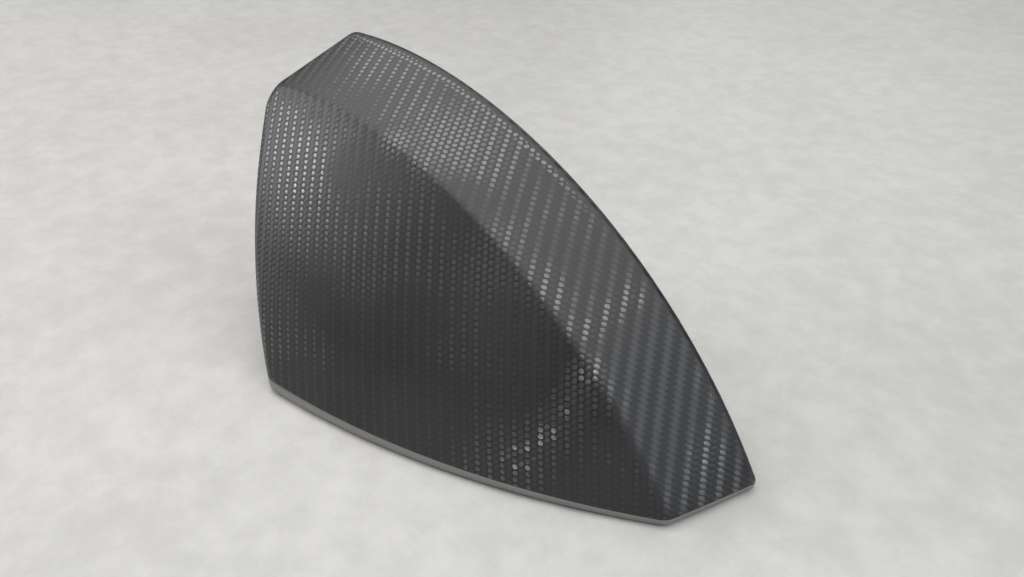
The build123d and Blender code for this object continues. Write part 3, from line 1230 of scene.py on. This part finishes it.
class COVER_OT_cloth(bpy.types.Operator):
    """Weave the outer cloth and lay it over the front, the roof and the inboard end"""

    bl_idname = "cover.cloth"
    bl_label = "Lay Cloth"

    def execute(self, context):
        cloth = context.scene.cover_cloth
        form = SharpForm(context.scene.cover_form, cloth)
        inboard = InboardForm(form, cloth)
        surface = merged_copy("rolled_surface")
        material = woven_material(context.scene.cover_finish)
        places, turns = float_places(cloth.tow_pitch, CLOTH_REACH)
        points, _, before = form.lay(places)
        kept = form.inboard_depth(points) > cloth.corner_margin
        kept &= points[:, 2] > 0
        kept &= before > -cloth.lip_cover
        self.lay_piece("outer_cloth", places[kept], turns[kept], form, cloth, surface, material)
        points, _, before = inboard.lay(places)
        kept = form.roof_height(points) < -cloth.corner_margin
        kept &= np.linalg.norm(points - form.centre, axis=1) < form.radius - cloth.corner_margin
        kept &= points[:, 2] > 0
        kept &= before > 0
        self.lay_piece("inboard_cloth", places[kept], turns[kept], inboard, cloth, surface, material)
        bpy.data.meshes.remove(surface)
        return {"FINISHED"}

    def lay_piece(self, name, places, turns, form, cloth, surface, material):
        """One sheet of cloth: woven flat, laid on its form and cut at its edges."""
        mesh = flat_cloth(name, places, turns, cloth, material)
        drape(mesh, form.lay, cloth, surface)
        trim_cloth(mesh, cloth)
        add_piece(name, mesh)


class COVER_OT_studio(bpy.types.Operator):
    """Set the floor, the lights and the camera"""

    bl_idname = "cover.studio"
    bl_label = "Set Studio"

    def execute(self, context):
        scene = context.scene
        studio = scene.cover_studio
        self.add_floor(scene, studio.floor_size / 2)
        for name, place, aim, width, depth, colour, power in LIGHTS:
            light = self.add_light(scene, name, place, aim, getattr(studio, power))
            light.size = width
            light.size_y = depth
            light.color = colour
        world = bpy.data.worlds.new("studio")
        world.use_nodes = True
        background = world.node_tree.nodes["Background"]
        background.inputs["Color"].default_value = (*studio.sky_colour, 1)
        background.inputs["Strength"].default_value = studio.sky_strength
        scene.world = world
        scene.view_settings.view_transform = "Standard"
        self.add_camera(scene, studio)
        return {"FINISHED"}

    def add_floor(self, scene, half):
        """A pale square floor under the cover."""
        mesh = bpy.data.meshes.new("floor")
        corners = [(-half, -half, 0), (half, -half, 0), (half, half, 0), (-half, half, 0)]
        mesh.from_pydata(corners, [], [(0, 1, 2, 3)])
        mesh.materials.append(floor_material(scene.cover_finish))
        floor = bpy.data.objects.new("floor", mesh)
        scene.collection.objects.link(floor)

    def add_light(self, scene, name, place, aim, power):
        """A rectangular area light that faces a point; returns its data."""
        data = bpy.data.lights.new(name, "AREA")
        data.shape = "RECTANGLE"
        data.energy = power
        light = bpy.data.objects.new(name, data)
        light.location = place
        light.rotation_euler = (Vector(aim) - Vector(place)).to_track_quat("-Z", "Y").to_euler()
        scene.collection.objects.link(light)
        return data

    def add_camera(self, scene, studio):
        """The camera at the photograph's viewing angle."""
        data = bpy.data.cameras.new("camera")
        data.lens = studio.lens
        data.sensor_width = SENSOR_WIDTH
        data.clip_start = NEAREST_SEEN
        camera = bpy.data.objects.new("camera", data)
        camera.location = studio.camera_place
        camera.rotation_euler = studio.camera_turn
        scene.collection.objects.link(camera)
        scene.camera = camera


class COVER_PT_panel(bpy.types.Panel):
    """Sidebar panel with the cover's settings"""

    bl_label = "Mirror Cover"
    bl_idname = "COVER_PT_panel"
    bl_space_type = "VIEW_3D"
    bl_region_type = "UI"
    bl_category = "Mirror Cover"

    def draw(self, context):
        layout = self.layout
        scene = context.scene
        for settings in (scene.cover_form, scene.cover_cloth, scene.cover_finish, scene.cover_studio):
            box = layout.box()
            for name in settings.bl_rna.properties.keys():
                if name not in ("rna_type", "name"):
                    box.prop(settings, name)
        layout.operator("cover.shell")
        layout.operator("cover.cloth")
        layout.operator("cover.studio")


CLASSES = (
    CoverFormSettings,
    ClothSettings,
    FinishSettings,
    StudioSettings,
    COVER_OT_shell,
    COVER_OT_cloth,
    COVER_OT_studio,
    COVER_PT_panel,
)


def register():
    for item in CLASSES:
        bpy.utils.register_class(item)
    bpy.types.Scene.cover_form = bpy.props.PointerProperty(type=CoverFormSettings)
    bpy.types.Scene.cover_cloth = bpy.props.PointerProperty(type=ClothSettings)
    bpy.types.Scene.cover_finish = bpy.props.PointerProperty(type=FinishSettings)
    bpy.types.Scene.cover_studio = bpy.props.PointerProperty(type=StudioSettings)


def unregister():
    del bpy.types.Scene.cover_studio
    del bpy.types.Scene.cover_finish
    del bpy.types.Scene.cover_cloth
    del bpy.types.Scene.cover_form
    for item in reversed(CLASSES):
        bpy.utils.unregister_class(item)


def main():
    register()
    bpy.ops.cover.shell()
    bpy.ops.cover.cloth()
    bpy.ops.cover.studio()


if __name__ == "__main__":
    main()
